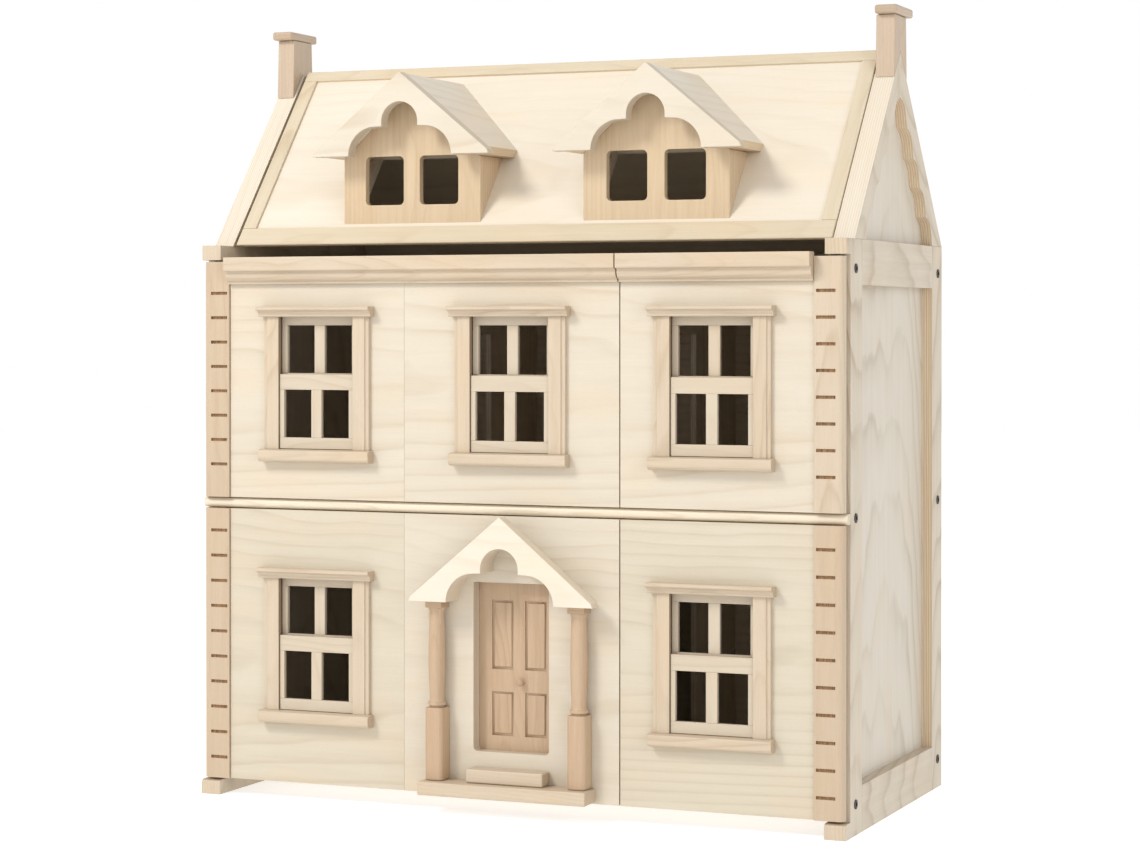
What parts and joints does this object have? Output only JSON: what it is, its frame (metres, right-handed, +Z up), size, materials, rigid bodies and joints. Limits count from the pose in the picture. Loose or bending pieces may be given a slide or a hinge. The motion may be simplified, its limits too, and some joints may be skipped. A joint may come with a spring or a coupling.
{
  "type": "dollhouse",
  "caption": "Wooden dollhouse with hinged front doors, sash windows, a columned porch, a lifting front roof with dormers, and chimneys.",
  "frame": {"origin": "on the floor, in the middle of the footprint", "axes": "+Z up, front towards -Y, +X to the right when facing the front"},
  "size_m": [0.647, 0.343, 0.741],
  "materials": {
    "pale_ply": "clear satin lacquer on pale plywood",
    "trim_wood": "clear satin lacquer on solid pale wood",
    "honey_wood": "clear satin lacquer on honey-coloured wood",
    "end_wall": "clear satin lacquer on greyish pale plywood",
    "tan_wood": "clear satin lacquer on reddish tan wood",
    "inner_wood": "unfinished pale plywood"
  },
  "bodies": {
    "carcass": {"face_frame_left": "end_wall", "face_frame_right": "end_wall", "end_board_left": "end_wall", "end_board_right": "end_wall", "ground_floor": "inner_wood", "first_floor": "inner_wood", "attic_floor": "inner_wood", "belt_moulding": "honey_wood", "back_panel": "inner_wood", "rear_roof": "pale_ply", "ridge_beam": "inner_wood", "chimney_left": "tan_wood", "chimney_right": "tan_wood", "chimney_cap_left": "tan_wood", "chimney_cap_right": "tan_wood", "partition_ground_left": "inner_wood", "partition_ground_right": "inner_wood", "partition_first_left": "inner_wood", "partition_first_right": "inner_wood", "staircase": "inner_wood"},
    "door_upper_left": {"door_upper_left": "pale_ply", "window_1_casing": "trim_wood", "window_2_casing": "trim_wood", "corner_strip_upper_left": "trim_wood", "cornice_left": "trim_wood"},
    "door_upper_right": {"door_upper_right": "pale_ply", "window_3_casing": "trim_wood", "corner_strip_upper_right": "trim_wood", "cornice_right": "trim_wood"},
    "door_lower_left": {"door_lower_left": "pale_ply", "window_4_casing": "trim_wood", "corner_strip_lower_left": "trim_wood", "porch_pediment": "pale_ply", "porch_post_left": "tan_wood", "porch_post_right": "tan_wood", "porch_step": "honey_wood", "doorstep": "honey_wood"},
    "door_lower_right": {"door_lower_right": "pale_ply", "window_5_casing": "trim_wood", "corner_strip_lower_right": "trim_wood"},
    "entrance_leaf": {"entrance_door": "tan_wood", "entrance_knob": "tan_wood"},
    "roof_front": {"roof_panel": "honey_wood", "dormer_1_body": "trim_wood", "dormer_1_roof": "pale_ply", "dormer_2_body": "trim_wood", "dormer_2_roof": "pale_ply"},
    "sash_1": {"window_1_sash": "pale_ply"},
    "sash_2": {"window_2_sash": "pale_ply"},
    "sash_3": {"window_3_sash": "pale_ply"},
    "sash_4": {"window_4_sash": "pale_ply"},
    "sash_5": {"window_5_sash": "pale_ply"}
  },
  "joints": [
    {"name": "door_upper_left_hinge", "type": "hinge", "parent": "carcass", "child": "door_upper_left", "pos_m": [-0.312, -0.1395, 0.396], "axis": [0, 0, -1], "range_deg": [0, 170]},
    {"name": "door_upper_right_hinge", "type": "hinge", "parent": "carcass", "child": "door_upper_right", "pos_m": [0.312, -0.1395, 0.396], "axis": [0, 0, 1], "range_deg": [0, 170]},
    {"name": "door_lower_left_hinge", "type": "hinge", "parent": "carcass", "child": "door_lower_left", "pos_m": [-0.312, -0.1395, 0.1438], "axis": [0, 0, -1], "range_deg": [0, 170]},
    {"name": "door_lower_right_hinge", "type": "hinge", "parent": "carcass", "child": "door_lower_right", "pos_m": [0.312, -0.1395, 0.1438], "axis": [0, 0, 1], "range_deg": [0, 170]},
    {"name": "entrance_hinge", "type": "hinge", "parent": "door_lower_left", "child": "entrance_leaf", "pos_m": [-0.039, -0.1251, 0.1345], "axis": [0, 0, 1], "range_deg": [0, 85]},
    {"name": "sash_1_slide", "type": "slide", "parent": "door_upper_left", "child": "sash_1", "axis": [0, 0, 1], "range_m": [0, 0.053]},
    {"name": "sash_2_slide", "type": "slide", "parent": "door_upper_left", "child": "sash_2", "axis": [0, 0, 1], "range_m": [0, 0.053]},
    {"name": "sash_3_slide", "type": "slide", "parent": "door_upper_right", "child": "sash_3", "axis": [0, 0, 1], "range_m": [0, 0.053]},
    {"name": "sash_4_slide", "type": "slide", "parent": "door_lower_left", "child": "sash_4", "axis": [0, 0, 1], "range_m": [0, 0.053]},
    {"name": "sash_5_slide", "type": "slide", "parent": "door_lower_right", "child": "sash_5", "axis": [0, 0, 1], "range_m": [0, 0.053]},
    {"name": "roof_hinge", "type": "hinge", "parent": "carcass", "child": "roof_front", "pos_m": [0, 0.0255, 0.7024], "axis": [-1, 0, 0], "range_deg": [0, 100]}
  ]
}
